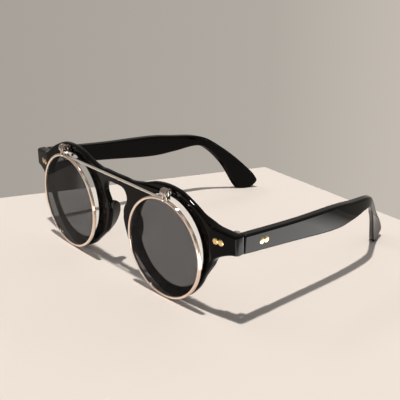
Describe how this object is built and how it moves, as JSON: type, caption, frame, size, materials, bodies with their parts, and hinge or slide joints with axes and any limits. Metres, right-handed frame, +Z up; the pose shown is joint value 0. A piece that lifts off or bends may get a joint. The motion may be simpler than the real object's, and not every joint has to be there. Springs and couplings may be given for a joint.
{
  "type": "flip up sunglasses",
  "caption": "Round black-plastic spectacles with a keyhole bridge, and dark round lenses in silver metal rims that flip up on two small hinges.",
  "frame": {"origin": "centre of the footprint, on the table the glasses stand on", "axes": "+X towards the wearer's left side, +Z up, the front faces -Y and the temples run back along +Y"},
  "size_m": [0.1446, 0.1316, 0.0495],
  "materials": {
    "black_plastic": "high gloss",
    "clear_lens": "polished, transparent",
    "dark_lens": "polished, transparent dark grey",
    "silver_metal": "polished",
    "steel": "satin",
    "gold_metal": "polished"
  },
  "bodies": {
    "front": {"clear_lens_left": "clear_lens", "clear_lens_right": "clear_lens", "flip_knuckle_left": "silver_metal", "flip_knuckle_right": "silver_metal", "front_frame": "black_plastic", "front_leaf_left": "steel", "front_leaf_right": "steel", "front_rivet_left": "gold_metal", "front_rivet_right": "gold_metal", "hinge_screw_left": "steel", "hinge_screw_right": "steel", "nose_pad_left": "black_plastic", "nose_pad_right": "black_plastic"},
    "flip": {"dark_lens_left": "dark_lens", "dark_lens_right": "dark_lens", "flip_bar": "silver_metal", "flip_ears_left": "silver_metal", "flip_ears_right": "silver_metal", "flip_rim_left": "silver_metal", "flip_rim_right": "silver_metal", "flip_screw_left": "silver_metal", "flip_screw_right": "silver_metal"},
    "temple_left": {"temple_left": "black_plastic", "temple_core_left": "steel", "temple_leaf_left": "steel", "temple_rivet_left": "gold_metal"},
    "temple_right": {"temple_right": "black_plastic", "temple_core_right": "steel", "temple_leaf_right": "steel", "temple_rivet_right": "gold_metal"}
  },
  "joints": [
    {"name": "flip_up", "type": "hinge", "parent": "front", "child": "flip", "pos_m": [0, -0.06396, 0.04747], "axis": [-1, 0, 0], "range_deg": [0, 100]},
    {"name": "temple_fold_left", "type": "hinge", "parent": "front", "child": "temple_left", "pos_m": [0.06609, -0.0515, 0.03385], "axis": [0, 0, 1], "range_deg": [0, 78]},
    {"name": "temple_fold_right", "type": "hinge", "parent": "front", "child": "temple_right", "pos_m": [-0.06609, -0.0515, 0.03385], "axis": [0, 0, -1], "range_deg": [0, 70]}
  ]
}
